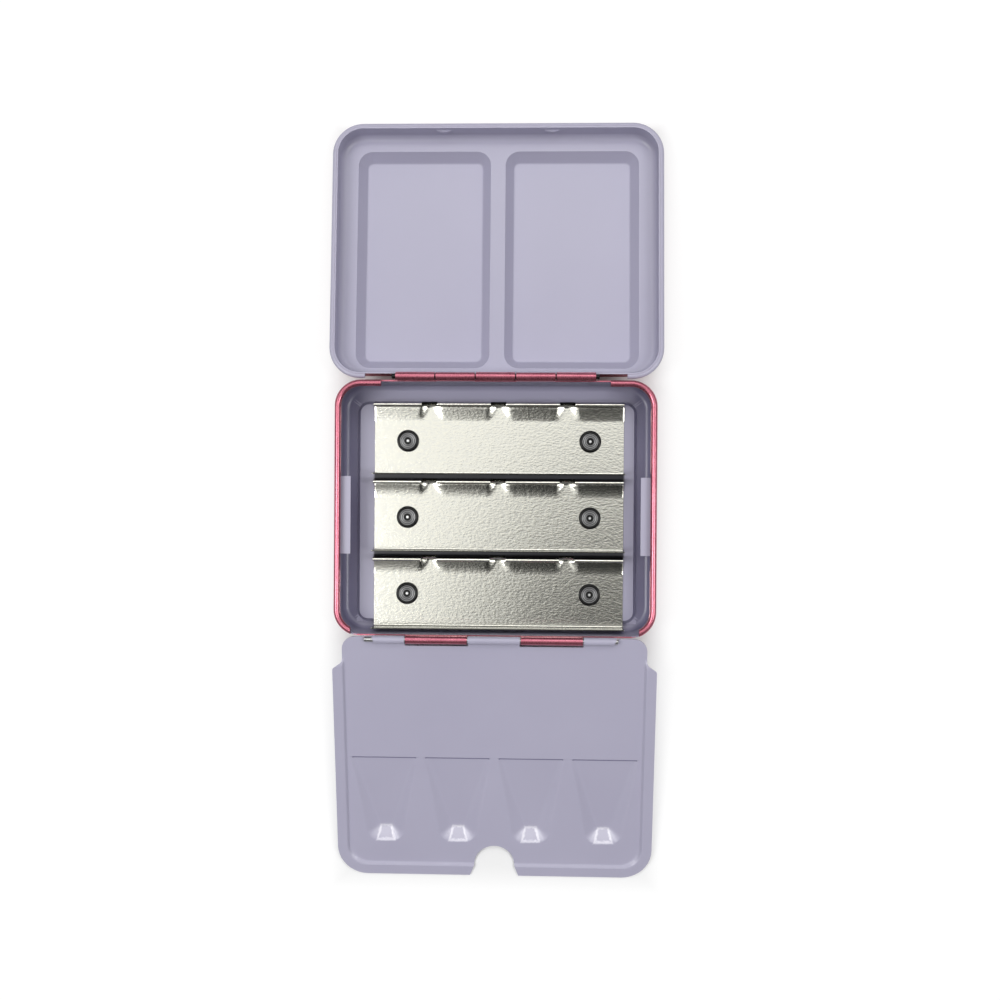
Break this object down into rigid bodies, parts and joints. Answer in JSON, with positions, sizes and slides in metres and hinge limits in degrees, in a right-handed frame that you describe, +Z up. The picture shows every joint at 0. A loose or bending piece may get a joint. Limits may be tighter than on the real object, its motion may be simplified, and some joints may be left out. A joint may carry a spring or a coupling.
{
  "type": "watercolour box",
  "caption": "Open empty tin watercolour box with a lid, a folding mixing flap and riveted spring rails for paint pans.",
  "frame": {"origin": "middle of the tray's outline, on the table under the tray", "axes": "+X to the user's right, +Y from the user towards the lid, +Z up"},
  "size_m": [0.0868, 0.2002, 0.0151],
  "materials": {
    "rose_lacquer": "metallic rose lacquer outside, satin lavender lacquer inside",
    "lavender_lacquer": "satin lavender lacquer on both faces",
    "tinplate": "bright tinned strip with a fine mottled grain",
    "hinge_wire": "drawn steel wire",
    "rivet_black": "black lacquered aluminium",
    "stem_steel": "plain steel with a bright broken tip"
  },
  "bodies": {
    "tray": {"tray": "rose_lacquer", "lid_hinge_pin": "hinge_wire", "flap_hinge_pin": "hinge_wire", "rail_back": "tinplate", "rail_middle": "tinplate", "rail_front": "tinplate", "rivet_back_left": "rivet_black", "rivet_back_right": "rivet_black", "rivet_middle_left": "rivet_black", "rivet_middle_right": "rivet_black", "rivet_front_left": "rivet_black", "rivet_front_right": "rivet_black", "rivet_stem_back_left": "stem_steel", "rivet_stem_back_right": "stem_steel", "rivet_stem_middle_left": "stem_steel", "rivet_stem_middle_right": "stem_steel", "rivet_stem_front_left": "stem_steel", "rivet_stem_front_right": "stem_steel"},
    "lid": {"lid": "rose_lacquer"},
    "flap": {"mixing_flap": "lavender_lacquer"}
  },
  "joints": [
    {"name": "lid_hinge", "type": "hinge", "parent": "tray", "child": "lid", "pos_m": [0, 0.034, 0.0141], "axis": [1, 0, 0], "range_deg": [0, 183.8]},
    {"name": "flap_hinge", "type": "hinge", "parent": "tray", "child": "flap", "pos_m": [0, -0.034, 0.0141], "axis": [-1, 0, 0], "range_deg": [0, 191.7]}
  ]
}
